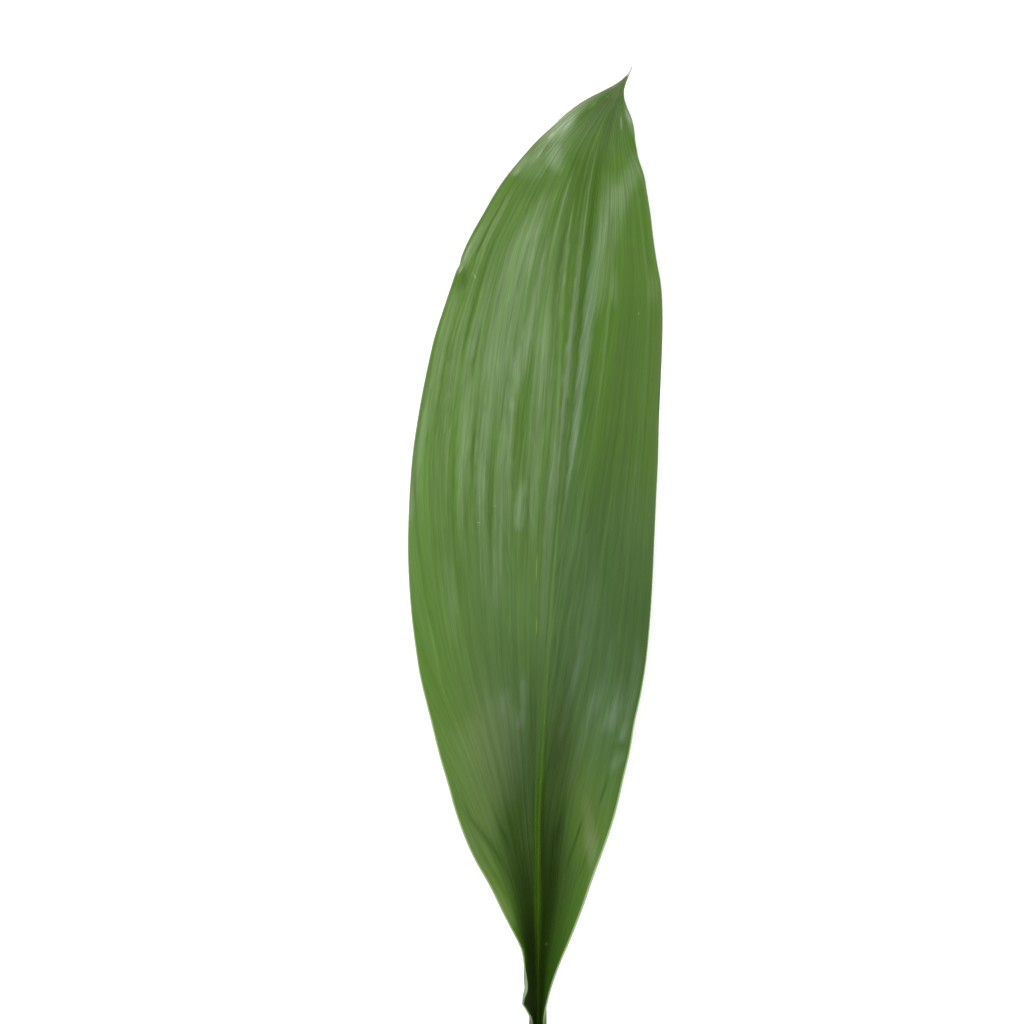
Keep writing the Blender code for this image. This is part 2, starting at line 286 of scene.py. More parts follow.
def left_vein(at, share):
    """Which vein passes here on the left, from 0 for the first beside the midrib to 1 for the last one."""
    return share / rail(LEFT_SPREAD)(at)


def right_vein(at, share):
    """Which vein passes here on the right, where the first ones leave the midrib low down."""
    start = rail(RIGHT_START)(at)
    return (start + (1 - start) * share) / rail(RIGHT_SPREAD)(at)


def rib_height(half, side, station, vein):
    """Height of the lengthwise ribs over the even blade."""
    height = 0.0
    for count, size, start in RIBS:
        wander = RIB_WANDER * np.sin(RIB_WANDER_PACE * station + start * 2 + side)
        height = height + size * np.sin(2 * np.pi * count * vein + start + side + wander)
    return height * half["ribs"](along(station))


def leaf_grid():
    """Everything the mesh needs at each row and column: upper and lower points, share, station and vein."""
    rows = np.arange(ROWS + 1)
    station = np.interp(rows, *zip(*ROW_PLAN))[:, None]
    at = along(station)
    columns = np.arange(-HALF_COLUMNS, HALF_COLUMNS + 1)
    share = np.interp(np.abs(columns), *zip(*COLUMN_PLAN))[None, :]
    side = np.where(columns < 0, -1, 1)[None, :]

    def by_half(left, right):
        return np.where(side < 0, left, right)

    left, right = half_section(LEFT, at, share), half_section(RIGHT, at, share)
    out, up, slope = (by_half(*pair) for pair in zip(left, right))
    slope[:, HALF_COLUMNS] = (right[2][:, HALF_COLUMNS] - left[2][:, HALF_COLUMNS]) / 2

    out = out + by_half(LEFT["trim"](at), RIGHT["trim"](at)) * share**2
    start, deepest, end = NICK
    nick = smooth(-station, -start, -deepest) * smooth(station, end, deepest)
    out = out - NICK_DEPTH * nick * smooth(share, NICK_REACH, 1.0) * (side < 0)

    sway = rail(SWAY, HALF_WIDTH)
    lean = np.arctan2(sway(at + LEAN_RUN) - sway(at - LEAN_RUN), 2 * LEAN_RUN)
    across = np.stack([np.cos(lean), -np.sin(lean), np.zeros_like(lean)], -1)
    height = np.array([0.0, 0.0, 1.0])
    centre = np.stack([sway(at), at, rail(RISE, ARCH_HEIGHT)(at)], -1)
    normal = across * (-side * np.sin(slope))[..., None] + height * np.cos(slope)[..., None]

    vein = by_half(left_vein(at, share), right_vein(at, share))
    ribs = by_half(rib_height(LEFT, -1, station, vein), rib_height(RIGHT, 1, station, vein))
    beside = np.hypot(out, up)
    groove = rail(GROOVE_DEPTH)(at) * np.exp(-((beside / rail(GROOVE_WIDTH)(at)) ** 2))
    ribs = ribs * smooth(share, 0.0, RIB_START) - groove
    bulge = np.maximum(0.0, 1 - (beside / rail(KEEL_SPREAD, HALF_WIDTH)(at)) ** 2)
    depth = BLADE_THICKNESS + rail(KEEL_DEPTH, STALK_DEPTH - BLADE_THICKNESS)(at) * bulge

    even = centre + across * (side * out)[..., None] + height * up[..., None]
    upper = even + normal * ribs[..., None]
    lower = even + normal * (LOWER_RIBS * ribs - depth)[..., None]
    upper[..., 2] = np.maximum(upper[..., 2], BLADE_THICKNESS / 2)
    lower[..., 2] = np.maximum(lower[..., 2], 0.0)
    for face in (upper, lower):
        face[0, :, 1] += CUT_SLANT * (face[0, :, 2] - centre[0, :, 2])
        face -= np.array([*MIDDLE, 0.0])
    at_margin = beside[:, [0] * (HALF_COLUMNS + 1) + [-1] * HALF_COLUMNS]
    ones = np.ones_like(share)
    stronger = 1 + RIGHT_MIDRIB_STREAKS * (1 - share) ** 2
    return {
        "upper": upper,
        "lower": lower,
        "share": share * side * np.ones_like(station),
        "station": station * ones,
        "vein": vein + RIGHT_VEINS * (side > 0),
        "streaked": by_half(LEFT["streaks"](at) * ones, RIGHT["streaks"](at) * stronger),
        "from_midrib": beside * MILLIMETRES,
        "from_margin": np.abs(at_margin - beside) * MILLIMETRES,
    }


# Strokes of colour along the veins. Each point is (station, share, half width as a share, strength), the
# first three in thousandths and the strength in hundredths. Shares below 0 are on the left half, and each
# value runs evenly from point to point.
STROKE_UNITS = (1000, 1000, 1000, 100)
# Powers of a stroke's fall across its width: a higher one gives harder edges
SOFT_EDGE = 2
FIRM_EDGE = 3
HARD_EDGE = 6
# Unevenness of the edges of bloom and furrows, as (size as a share, waves along, waves across, start)
RAGGED = [(0.003, 31, 5, 0.0), (0.002, 57, -9, 1.0)]

# Painted sheen: grey added to the green where the skin reflects the light, which is glossier there too
PAINTED_SHEEN = [
    [(875, -420, 70, 0), (860, -430, 90, 30), (830, -470, 120, 38), (800, -490, 145, 42),
     (760, -490, 145, 44), (720, -490, 140, 40), (690, -490, 150, 48), (660, -480, 140, 40),
     (630, -470, 120, 25), (580, -460, 100, 0)],
    [(850, -390, 30, 0), (825, -420, 50, 30), (800, -390, 40, 25), (780, -370, 30, 0)],
    [(700, -100, 250, 0), (620, -80, 280, 18), (575, -180, 350, 25), (505, -250, 350, 20),
     (435, -320, 380, 24), (365, -350, 500, 18), (300, -500, 500, 18), (245, -650, 400, 22),
     (200, -850, 220, 15), (170, -900, 200, 0)],
    [(1000, 400, 350, 0), (965, 420, 350, 25), (935, 350, 350, 10), (910, 300, 300, 0)],
    [(983, 920, 120, 0), (974, 880, 150, 90), (966, 850, 180, 140), (959, 900, 150, 90), (948, 950, 100, 0)],
    [(800, -665, 30, 0), (760, -665, 35, 30), (720, -670, 35, 35), (705, -680, 30, 40), (685, -690, 20, 30),
     (660, -670, 40, 30), (630, -660, 45, 40), (570, -655, 35, 42), (540, -655, 30, 28), (500, -655, 25, 15),
     (460, -650, 20, 0)],
    [(880, -830, 30, 0), (840, -825, 30, 35), (800, -825, 25, 35), (780, -820, 30, 15), (750, -810, 35, 30),
     (700, -800, 50, 35), (670, -790, 60, 35), (630, -800, 50, 10), (610, -780, 20, 35), (580, -770, 15, 25),
     (540, -760, 15, 0)],
    [(860, -930, 50, 0), (840, -930, 45, 20), (825, -940, 45, 50), (810, -945, 45, 60), (795, -965, 35, 60),
     (787, -985, 20, 50), (783, -990, 10, 0)],
    [(775, -950, 40, 0), (760, -940, 50, 25), (740, -930, 50, 35), (700, -920, 45, 45), (660, -930, 45, 40),
     (620, -940, 40, 40), (580, -965, 30, 30), (530, -980, 30, 35), (510, -985, 15, 0)],
    [(660, -540, 30, 0), (630, -535, 40, 30), (600, -535, 40, 45), (570, -530, 35, 60), (540, -530, 30, 45),
     (520, -510, 30, 25), (470, -490, 35, 15), (430, -480, 30, 0)],
    [(670, -390, 30, 0), (645, -380, 30, 55), (620, -380, 35, 45), (580, -390, 45, 40), (540, -385, 40, 45),
     (500, -385, 35, 35), (460, -390, 30, 25), (420, -400, 30, 0)],
    [(840, -275, 8, 0), (810, -275, 14, 40), (770, -280, 25, 40), (740, -295, 30, 45), (710, -310, 40, 50),
     (690, -330, 50, 42), (670, -330, 35, 25), (655, -330, 30, 0)],
    [(900, -225, 20, 0), (870, -230, 22, 30), (850, -230, 18, 20), (800, -215, 25, 12), (760, -200, 30, 20),
     (720, -200, 45, 40), (680, -190, 55, 45), (640, -190, 50, 35), (600, -180, 40, 30), (560, -175, 25, 40),
     (530, -170, 20, 40), (490, -170, 20, 0)],
    [(870, -130, 8, 0), (840, -125, 12, 35), (810, -120, 15, 50), (770, -125, 18, 40), (720, -130, 20, 30),
     (660, -120, 20, 30), (600, -100, 15, 0)],
    [(935, -10, 15, 0), (910, 5, 14, 15), (870, 3, 13, 20), (830, -8, 14, 40), (790, -18, 16, 60),
     (740, -26, 19, 65), (700, -34, 21, 80), (660, -38, 20, 80), (620, -42, 20, 60), (590, -50, 24, 50),
     (560, -60, 28, 55), (530, -63, 28, 45), (500, -60, 25, 25), (420, -50, 25, 15), (360, -40, 20, 0)],
    [(572, -250, 20, 0), (560, -250, 30, 50), (540, -255, 35, 65), (525, -255, 35, 60), (515, -250, 30, 0)],
    [(905, 300, 120, 0), (885, 330, 120, 50), (870, 300, 110, 75), (850, 240, 90, 65), (820, 170, 70, 65),
     (790, 130, 60, 80), (760, 115, 55, 95), (720, 90, 50, 100), (680, 75, 42, 100), (640, 65, 35, 100),
     (600, 60, 28, 85), (580, 50, 18, 50), (550, 45, 15, 25), (480, 45, 15, 20), (440, 45, 15, 0)],
    [(940, 950, 100, 0), (925, 900, 150, 35), (912, 800, 180, 60), (900, 680, 180, 65), (885, 550, 150, 80),
     (870, 480, 140, 70), (850, 380, 140, 50), (820, 280, 110, 55), (790, 250, 80, 50), (760, 210, 50, 35),
     (740, 190, 20, 0)],
    [(805, 370, 30, 0), (790, 365, 40, 30), (775, 360, 45, 50), (765, 360, 40, 30), (755, 360, 40, 0)],
    [(810, 880, 40, 0), (790, 880, 60, 25), (775, 850, 80, 20), (763, 850, 80, 0)],
    [(800, 330, 10, 0), (760, 305, 10, 20), (710, 285, 14, 25), (660, 255, 12, 20), (580, 220, 10, 0)],
    [(620, 600, 400, 0), (540, 620, 450, 12), (440, 600, 450, 14), (360, 600, 500, 10), (280, 600, 400, 0)],
    [(440, 750, 250, 0), (370, 720, 250, 8), (335, 700, 280, 20), (305, 720, 300, 18), (270, 700, 300, 5),
     (240, 600, 250, 0)],
    [(580, 180, 150, 0), (505, 180, 160, 16), (435, 280, 250, 12), (365, 400, 300, 5), (330, 500, 300, 0)],
    [(310, -120, 60, 0), (250, -120, 60, 12), (190, -140, 80, 16), (150, -140, 80, 8), (120, -140, 80, 0)],
    [(420, 620, 40, 0), (380, 580, 50, 12), (360, 560, 60, 28), (345, 540, 70, 35), (333, 510, 70, 25),
     (320, 480, 50, 15), (260, 380, 30, 10), (240, 350, 20, 0)],
    [(520, 440, 30, 0), (460, 380, 40, 10), (410, 330, 50, 15), (390, 320, 50, 30), (370, 290, 40, 30),
     (350, 260, 40, 15), (310, 205, 30, 15), (290, 190, 20, 0)],
    [(380, 780, 60, 0), (355, 780, 80, 20), (340, 770, 80, 50), (328, 750, 80, 55), (318, 730, 100, 30),
     (310, 700, 100, 0)],
    [(420, 900, 30, 0), (390, 905, 40, 30), (330, 905, 35, 35), (310, 900, 35, 60), (303, 900, 20, 0)],
    [(298, 900, 50, 0), (288, 900, 60, 35), (280, 870, 60, 35), (268, 850, 50, 0)],
    [(250, 600, 50, 0), (235, 640, 60, 15), (220, 700, 70, 25), (200, 780, 90, 35), (190, 820, 90, 40),
     (180, 880, 80, 35), (165, 950, 40, 25), (140, 985, 20, 20), (100, 990, 15, 15), (50, 990, 10, 0)],
    [(400, -500, 250, 0), (355, -450, 200, 10), (340, -420, 150, 25), (325, -400, 200, 25),
     (300, -500, 350, 20), (270, -550, 350, 15), (245, -600, 300, 5), (230, -600, 300, 0)],
    [(355, -330, 30, 0), (345, -340, 40, 20), (330, -350, 50, 20), (320, -350, 40, 0)],
    [(375, -170, 20, 0), (360, -180, 25, 30), (330, -190, 30, 30), (318, -210, 40, 35), (308, -220, 30, 0)],
    [(220, -960, 50, 0), (200, -960, 60, 15), (170, -950, 70, 25), (150, -940, 80, 20), (135, -920, 120, 35),
     (120, -900, 140, 50), (112, -900, 140, 40), (103, -920, 100, 0)],
    [(200, -830, 20, 0), (185, -800, 30, 20), (165, -770, 40, 20), (150, -750, 30, 0)],
    [(235, -680, 50, 0), (220, -650, 60, 10), (200, -610, 50, 10), (185, -600, 40, 0)],
    [(490, -760, 40, 0), (470, -740, 60, 15), (440, -720, 50, 20), (420, -720, 40, 20), (390, -720, 30, 0)],
    [(1000, -950, 300, 0), (965, -950, 180, 80), (950, -920, 180, 120), (935, -920, 180, 150),
     (925, -930, 150, 110), (912, -950, 120, 50), (900, -960, 120, 80), (890, -970, 120, 70),
     (883, -1000, 100, 0)],
    [(1000, -300, 300, 0), (965, -250, 300, 15), (935, -400, 220, 15), (915, -450, 200, 0)],
    [(850, -300, 80, 0), (800, -310, 70, 12), (720, -300, 70, 15), (660, -280, 70, 0)],
    [(945, -700, 120, 0), (935, -730, 100, 20), (920, -800, 70, 50), (905, -830, 50, 60),
     (893, -820, 40, 0)],
    [(950, -700, 100, 0), (935, -650, 140, 20), (920, -600, 140, 40), (910, -550, 120, 50),
     (900, -480, 90, 60), (894, -430, 80, 40), (890, -400, 60, 0)],
    [(930, -720, 100, 0), (915, -700, 120, 25), (900, -680, 120, 30), (888, -680, 160, 25),
     (880, -700, 150, 0)],
]
# Thin pale lines along single veins
PALE_LINES = [
    [(955, -10, 12, 0), (940, 0, 12, 70), (900, 6, 9, 140), (870, 2, 9, 130), (830, -8, 10, 90),
     (780, -16, 9, 60), (740, -18, 9, 0)],
    [(880, -130, 6, 0), (840, -122, 9, 60), (800, -112, 10, 80), (740, -100, 10, 70), (690, -88, 9, 90),
     (650, -72, 8, 80), (610, -60, 8, 0)],
    [(890, -712, 8, 0), (840, -710, 10, 60), (760, -708, 10, 90), (700, -710, 9, 70), (640, -712, 8, 60),
     (580, -700, 8, 40), (540, -685, 8, 0)],
    [(660, -862, 5, 0), (610, -850, 8, 70), (570, -835, 8, 80), (530, -820, 8, 30), (500, -810, 8, 0)],
    [(650, -950, 6, 0), (600, -935, 7, 70), (550, -920, 7, 80), (510, -910, 6, 0)],
    [(620, -775, 6, 0), (580, -765, 8, 40), (540, -750, 8, 40), (500, -740, 6, 0)],
    [(500, -810, 8, 0), (460, -790, 10, 50), (420, -765, 10, 60), (390, -740, 10, 50), (350, -710, 10, 0)],
    [(430, -890, 8, 0), (400, -872, 10, 80), (375, -857, 10, 80), (350, -845, 12, 40), (320, -840, 12, 0)],
    [(830, 430, 12, 0), (800, 400, 12, 40), (760, 315, 15, 60), (720, 290, 12, 90), (680, 265, 12, 70),
     (640, 248, 11, 60), (600, 225, 11, 40), (550, 175, 12, 50), (500, 155, 12, 30), (450, 125, 12, 0)],
    [(940, 300, 50, 0), (925, 370, 30, 50), (910, 405, 12, 70), (890, 415, 8, 70), (870, 415, 8, 0)],
    [(890, -335, 20, 0), (865, -335, 20, 80), (850, -340, 15, 30), (830, -340, 10, 0)],
    [(620, 145, 10, 0), (600, 135, 10, 60), (580, 120, 8, 0)],
    [(740, 560, 10, 0), (680, 545, 12, 35), (620, 530, 12, 20), (550, 470, 12, 40), (500, 430, 12, 50),
     (470, 400, 10, 0)],
    [(700, 735, 10, 0), (600, 730, 12, 30), (550, 710, 12, 30), (480, 660, 12, 0)],
    [(600, -6, 6, 0), (520, -7, 8, 60), (450, -8, 10, 60), (380, -10, 11, 50), (300, -12, 13, 30),
     (220, -10, 13, 0)],
]
# Deeper green furrows between the ribs
FURROWS = [
    [(935, -60, 50, 0), (900, -85, 60, 90), (870, -80, 45, 100), (830, -80, 28, 90), (780, -78, 22, 90),
     (740, -75, 18, 90), (690, -70, 13, 90), (650, -60, 9, 70), (610, -55, 6, 0)],
    [(920, -250, 80, 0), (905, -220, 100, 80), (885, -150, 60, 90), (860, -160, 25, 70), (800, -165, 20, 60),
     (760, -165, 10, 40), (720, -160, 6, 0)],
    [(930, 80, 50, 0), (900, 80, 50, 90), (860, 75, 45, 90), (820, 60, 30, 100), (780, 40, 20, 90),
     (740, 28, 15, 90), (700, 20, 10, 80), (620, 17, 7, 60), (550, 15, 6, 40), (500, 15, 6, 0)],
    [(820, 8, 8, 0), (770, 5, 12, 60), (730, 3, 10, 50), (700, 2, 10, 0)],
    [(800, 140, 8, 0), (770, 135, 10, 60), (730, 120, 10, 40), (700, 110, 8, 0)],
    [(660, -310, 20, 0), (640, -310, 32, 70), (610, -305, 36, 100), (580, -300, 30, 100),
     (550, -300, 20, 90), (520, -285, 12, 70), (490, -270, 10, 0)],
    [(760, -268, 4, 0), (730, -266, 7, 70), (690, -258, 9, 90), (660, -250, 6, 50), (640, -247, 5, 0)],
    [(660, -615, 8, 0), (630, -608, 18, 90), (600, -597, 18, 100), (560, -580, 14, 80), (530, -600, 30, 50),
     (500, -600, 40, 0)],
    [(580, -565, 6, 0), (550, -557, 8, 60), (510, -545, 7, 0)],
    [(900, -865, 20, 0), (860, -868, 14, 80), (800, -862, 12, 90), (750, -858, 8, 80), (700, -868, 8, 80),
     (660, -870, 10, 80), (620, -865, 12, 60), (580, -850, 8, 30), (540, -840, 6, 0)],
    [(885, -760, 60, 0), (865, -765, 50, 70), (820, -755, 40, 60), (780, -745, 30, 80), (740, -735, 20, 90),
     (700, -735, 12, 60), (680, -735, 10, 0)],
    [(900, -550, 50, 0), (885, -515, 20, 70), (860, -505, 18, 90), (835, -495, 12, 90), (820, -492, 6, 0)],
    [(810, -450, 10, 0), (780, -450, 15, 50), (740, -455, 10, 50), (700, -460, 8, 60), (690, -460, 6, 0)],
    [(710, -400, 8, 0), (690, -410, 15, 60), (660, -410, 20, 70), (630, -410, 15, 50), (600, -420, 10, 0)],
    [(705, -665, 10, 0), (690, -665, 18, 90), (670, -665, 16, 60), (655, -665, 10, 0)],
    [(630, -745, 6, 0), (615, -735, 15, 60), (580, -730, 12, 50), (550, -720, 20, 40), (520, -710, 20, 0)],
    [(800, -955, 10, 0), (785, -930, 50, 100), (770, -930, 50, 90), (760, -900, 30, 30), (750, -880, 20, 0)],
    [(600, -120, 6, 0), (580, -112, 10, 50), (540, -102, 12, 70), (510, -100, 10, 0)],
    [(570, -450, 10, 0), (540, -445, 20, 60), (510, -430, 12, 70), (490, -430, 10, 0)],
    [(925, -950, 20, 0), (915, -950, 50, 80), (905, -930, 50, 60), (900, -900, 30, 0)],
    [(925, -770, 20, 0), (915, -780, 30, 80), (905, -780, 30, 0)],
    [(893, -800, 150, 0), (880, -820, 180, 50), (870, -750, 200, 50), (855, -700, 100, 0)],
    [(420, -270, 10, 0), (380, -268, 14, 60), (340, -260, 14, 80), (325, -250, 10, 0)],
    [(400, -80, 20, 0), (370, -90, 30, 60), (330, -100, 40, 90), (290, -110, 35, 80), (260, -120, 30, 40),
     (230, -120, 30, 0)],
    [(270, -950, 6, 0), (250, -942, 12, 70), (225, -920, 10, 60), (200, -890, 10, 60), (170, -845, 12, 70),
     (150, -810, 15, 70), (137, -770, 20, 60), (130, -720, 30, 0)],
    [(260, -890, 10, 0), (240, -885, 20, 60), (220, -865, 20, 80), (208, -800, 30, 90), (195, -720, 35, 90),
     (180, -660, 30, 90), (165, -620, 30, 0)],
    [(240, -600, 6, 0), (225, -560, 15, 50), (210, -520, 20, 80), (198, -480, 30, 80), (185, -450, 50, 0)],
    [(250, -430, 10, 0), (235, -410, 30, 70), (215, -380, 40, 90), (190, -350, 50, 70), (170, -320, 50, 0)],
    [(420, 15, 6, 0), (360, 25, 10, 40), (300, 35, 14, 90), (260, 45, 20, 100), (220, 55, 28, 100),
     (180, 70, 35, 70), (140, 90, 40, 0)],
    [(410, 120, 10, 0), (380, 100, 18, 70), (350, 85, 18, 70), (320, 75, 18, 30), (300, 70, 15, 0)],
    [(400, 200, 20, 0), (370, 190, 50, 40), (330, 180, 60, 60), (300, 150, 50, 50), (270, 120, 50, 20),
     (250, 110, 40, 0)],
    [(370, 870, 5, 0), (350, 870, 10, 60), (320, 870, 12, 70), (310, 870, 10, 0)],
    [(304.5, 850, 50, 0), (300.5, 870, 90, 80), (296.5, 890, 60, 0)],
    [(275, 845, 8, 0), (260, 825, 15, 60), (245, 800, 15, 60), (230, 780, 10, 0)],
    [(240, 650, 6, 0), (225, 625, 15, 60), (205, 590, 20, 90), (190, 560, 25, 90), (175, 530, 30, 70),
     (160, 500, 30, 0)],
    [(205, 795, 8, 0), (190, 785, 12, 70), (165, 775, 15, 60), (150, 770, 20, 0)],
    [(295, 420, 8, 0), (280, 400, 12, 50), (260, 370, 12, 50), (245, 340, 15, 60), (220, 330, 50, 80),
     (200, 280, 80, 80), (180, 250, 100, 0)],
]
# Soft painted shade
PAINTED_SHADE = [
    [(1012, -150, 800, 33), (965, -150, 800, 33), (935, -50, 500, 20), (900, -20, 200, 20),
     (850, -20, 150, 14), (600, 0, 100, 12), (400, 0, 150, 8), (340, 0, 150, 0)],
    [(1012, -450, 600, 15), (935, -450, 600, 17), (900, -450, 600, 15), (700, -450, 580, 19),
     (600, -450, 550, 15), (505, -420, 500, 25), (435, -380, 450, 30), (245, -400, 450, 30),
     (200, -450, 450, 25), (160, -500, 400, 10), (130, -500, 400, 0)],
    [(260, 700, 500, 0), (200, 700, 500, 15), (160, 680, 350, 28), (120, 720, 400, 32), (80, 780, 450, 45),
     (45, 850, 450, 55), (15, 750, 500, 55), (-60, 750, 500, 30), (-250, 750, 500, 0)],
    [(840, 500, 140, 0), (790, 510, 140, 9), (645, 520, 150, 12), (575, 520, 150, 13), (505, 450, 200, 4),
     (460, 450, 200, 0)],
]
# Painted shade in the folds above the base
FOLD_SHADE = [
    [(240, -885, 30, 0), (220, -865, 40, 18), (208, -800, 50, 24), (195, -720, 50, 25), (180, -660, 50, 24),
     (165, -620, 50, 14), (150, -580, 50, 0)],
    [(240, -600, 10, 0), (225, -560, 20, 10), (210, -520, 30, 20), (198, -480, 35, 20), (180, -450, 50, 10),
     (165, -420, 50, 0)],
    [(235, 645, 10, 0), (220, 615, 16, 15), (205, 590, 20, 28), (190, 560, 25, 28), (175, 530, 30, 20),
     (155, 490, 30, 0)],
    [(235, 335, 20, 0), (220, 330, 40, 15), (205, 300, 50, 20), (190, 260, 60, 12), (175, 240, 60, 0)],
    [(200, 790, 10, 0), (188, 785, 14, 20), (168, 775, 18, 20), (150, 770, 20, 0)],
    [(270, 840, 10, 0), (257, 820, 18, 15), (245, 800, 20, 18), (232, 780, 15, 0)],
]
# Soft painted light
PAINTED_LIGHT = [
    [(840, 280, 100, 0), (790, 280, 100, 8), (645, 280, 100, 5), (500, 280, 100, 0)],
    [(180, -900, 150, 0), (130, -920, 180, 24), (100, -950, 150, 18), (80, -950, 150, 0)],
    [(65, -900, 300, 0), (45, -850, 250, 35), (20, -850, 250, 0)],
]
# Painted shade on the right half, which slopes away from the light; it ends at the midrib
RIGHT_SHADE = [
    [(800, 600, 620, 0), (720, 600, 620, 10), (645, 600, 620, 13), (575, 600, 620, 24), (505, 600, 620, 38),
     (435, 600, 620, 47), (365, 600, 620, 46), (300, 600, 620, 41), (245, 600, 620, 27), (200, 600, 620, 8),
     (170, 600, 620, 0)],
]
# Painted shade and a darker green on each wall of the channel at the base, where the surface is dull too. It
# reaches over the midrib only at the very base.
CHANNEL_SHADE = [
    [(430, -50, 300, 0), (365, -50, 340, 18), (300, -50, 360, 32), (245, -80, 360, 42), (200, -200, 380, 45),
     (160, -300, 360, 65), (120, -340, 380, 73), (108, -380, 380, 75), (98, -440, 390, 77),
     (80, -510, 420, 81), (45, -340, 420, 83), (15, -380, 480, 86), (-80, -380, 500, 85),
     (-250, -400, 500, 50), (-600, -400, 500, 20), (-1000, -400, 500, 10)],
    [(430, 120, 220, 0), (365, 120, 250, 19), (300, 120, 290, 38), (245, 130, 310, 50), (200, 140, 360, 69),
     (160, 100, 500, 78), (120, 120, 490, 78), (80, 140, 430, 75), (45, 250, 350, 74), (15, 280, 400, 74),
     (-80, 300, 450, 75), (-250, 350, 500, 50), (-600, 400, 500, 20), (-1000, 400, 500, 10)],
]
# Skin with less shine
DULLER = [
    [(900, 950, 150, 0), (840, 920, 200, 40), (720, 850, 250, 60), (620, 850, 250, 60), (540, 900, 200, 10),
     (500, 900, 200, 0)],
    [(200, 800, 150, 0), (160, 850, 200, 50), (120, 800, 300, 60), (80, 800, 300, 60), (0, 800, 300, 40),
     (-1000, 800, 300, 0)],
]
# The lighter midrib, with thousandths of a millimetre from the middle in place of shares
MIDRIB = [
    [(750, -300, 400, 0), (580, -350, 600, 30), (500, -400, 700, 70), (400, -500, 900, 80),
     (300, -700, 1400, 85), (200, -650, 1800, 88), (120, -400, 2200, 90), (80, -300, 2100, 75),
     (45, 0, 1800, 40), (15, 0, 1400, 15), (-100, 0, 1000, 10), (-1000, 0, 1000, 10)],
]
# Redder green where it is above 0, and bluer green below that
WARMTH = [
    [(370, -600, 250, 0), (310, -620, 280, 90), (245, -620, 280, 100), (200, -850, 170, 70),
     (120, -920, 140, 140), (100, -920, 100, 0)],
    [(620, 500, 350, 0), (575, 400, 300, -50), (505, 480, 400, -80), (435, 520, 500, -100),
     (365, 600, 500, -110), (300, 750, 350, -100), (270, 850, 200, -70), (230, 900, 100, 0)],
    [(880, 150, 80, 0), (800, 120, 80, -50), (645, 100, 70, -70), (500, 100, 80, -50), (200, 100, 80, 0)],
    [(550, -400, 300, 0), (435, -400, 250, -40), (365, -250, 150, -40), (300, -120, 80, -40),
     (200, -120, 80, 0)],
    [(330, 200, 50, 0), (300, 220, 80, 60), (270, 350, 150, 60), (245, 530, 200, 120), (210, 720, 180, 140),
     (190, 800, 160, 120), (160, 900, 100, 40), (140, 900, 100, 0)],
    [(140, 700, 300, 0), (120, 700, 300, -70), (45, 750, 300, -70), (-100, 750, 300, 0)],
    [(280, 0, 30, 0), (200, 0, 45, 90), (100, 0, 80, 90), (50, 0, 100, 60), (0, 0, 100, 0)],
    [(900, 950, 100, 0), (850, 950, 100, 40), (700, 930, 100, 50), (560, 930, 100, 0)],
    [(980, -900, 150, 30), (800, -900, 150, 30), (600, -900, 150, 0)],
]
# Painted shade on the underside of the ruffle at the base
UNDER_SHADE = [
    [(65, -1000, 500, 0), (52, -1000, 500, 60), (42, -1000, 500, 60), (36, -1000, 500, 10),
     (30, -1000, 500, 0)],
]
# Small marks as (x, y, half length, half width) in millimetres from the blade's base, turn in degrees from
# the x axis, and strength. The whitish ones are painted highlights near the tip and light specks and
# scratches further down, yellow marks are bruises, brown ones are dried, dark ones furrows.
GLINT_AND_SPECK_MARKS = [
    (14.3, 406.4, 4.4, 0.9, 59, 0.15), (12.2, 403.0, 4.6, 0.8, 60, 0.15), (13.6, 404.6, 7.5, 2.2, 59, 0.15),
    (9.8, 404.4, 7.3, 0.3, 49, 0.5), (6.1, 401.2, 2.2, 0.5, 49, 0.7), (1.1, 392.9, 2.8, 0.3, 57, 0.25),
    (5.3, 394.0, 4.4, 0.25, 50, 0.4), (8.8, 398.6, 3.6, 0.25, 52, 0.35), (-0.3, 395.6, 2.6, 0.25, 48, 0.4),
    (7.2, 391.5, 6.2, 2.4, 62, 0.2), (-9.5, 384.5, 2.2, 0.9, 46, 0.2),
    (41.1, 409.6, 3.4, 0.6, 112, 0.35), (37.8, 406.5, 3.2, 0.4, 92, 0.4), (-33.4, 346.1, 8.0, 0.5, 64, 0.3),
    (-35.2, 340.7, 2.4, 0.5, 63, 0.45), (-30.7, 345.9, 5.8, 0.3, 64, 0.25),
    (-28.7, 337.5, 1.6, 0.3, 117, 0.35), (-26.6, 225.7, 0.9, 0.3, 0, 0.3),
    (-19.3, 233.1, 0.8, 0.35, 10, 0.15), (45.6, 320.1, 0.6, 0.3, 60, 0.4), (3.7, 36.1, 0.6, 0.5, 0, 0.15),
]
YELLOW_MARKS = [
    (-0.75, 205.2, 6.5, 0.32, 88, 0.6), (-0.7, 179.5, 3.4, 0.30, 88, 0.6), (31.6, 418.5, 0.8, 0.6, 40, 0.2),
    (25.2, 414.9, 2.8, 0.8, 46, 0.25), (2.3, 397.3, 4.4, 0.35, 35, 0.4), (-6.6, 34.6, 1.4, 0.5, 100, 0.5),
]
BROWN_MARKS = [
    (36.6, 425.4, 4.4, 0.6, 43, 0.6), (39.8, 424.8, 2.6, 0.5, 83, 0.4), (35.3, 416.7, 4.8, 0.8, 67, 0.15),
    (37.0, 422.6, 6.0, 3.0, 50, 0.17),
]
DARK_MARKS = [
    (4.5, 396.6, 5.2, 0.45, 53, 0.6), (-25.6, 352.4, 5.2, 0.45, 61, 0.6), (-33.3, 335.3, 3.8, 1.4, 83, 0.5),
    (2.6, 393.6, 3.6, 0.35, 52, 0.6), (7.2, 395.2, 4.0, 0.35, 53, 0.5), (12.0, 407.6, 4.6, 0.3, 47, 0.4),
]
# Between these stations the walls of the channel stop reaching over the midrib
CHANNEL_OPENS = (0.085, 0.12)
